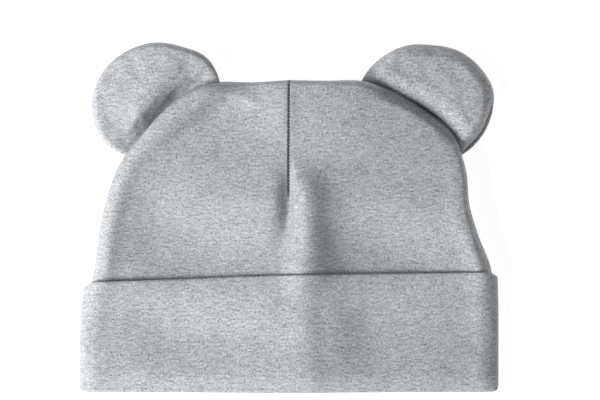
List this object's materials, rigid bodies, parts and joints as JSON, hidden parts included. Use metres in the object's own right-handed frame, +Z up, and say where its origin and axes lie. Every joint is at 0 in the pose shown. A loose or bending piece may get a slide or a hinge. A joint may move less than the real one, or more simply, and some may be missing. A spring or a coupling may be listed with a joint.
{
  "type": "baby hat with ears",
  "caption": "Soft hollow jersey baby hat lying flat, with a turned-up cuff, a centre dart and round padded ears.",
  "frame": {"origin": "middle of the hat's box, on the surface that it lies on", "axes": "+X across the flat hat to the viewer's right, +Y from the mouth to the top edge, +Z up from the surface"},
  "size_m": [0.1806, 0.1512, 0.0206],
  "materials": {
    "jersey": "matt grey heather cotton jersey"
  },
  "bodies": {
    "root": {"crown": "jersey", "cuff": "jersey", "ear_left": "jersey", "ear_right": "jersey"}
  },
  "joints": []
}
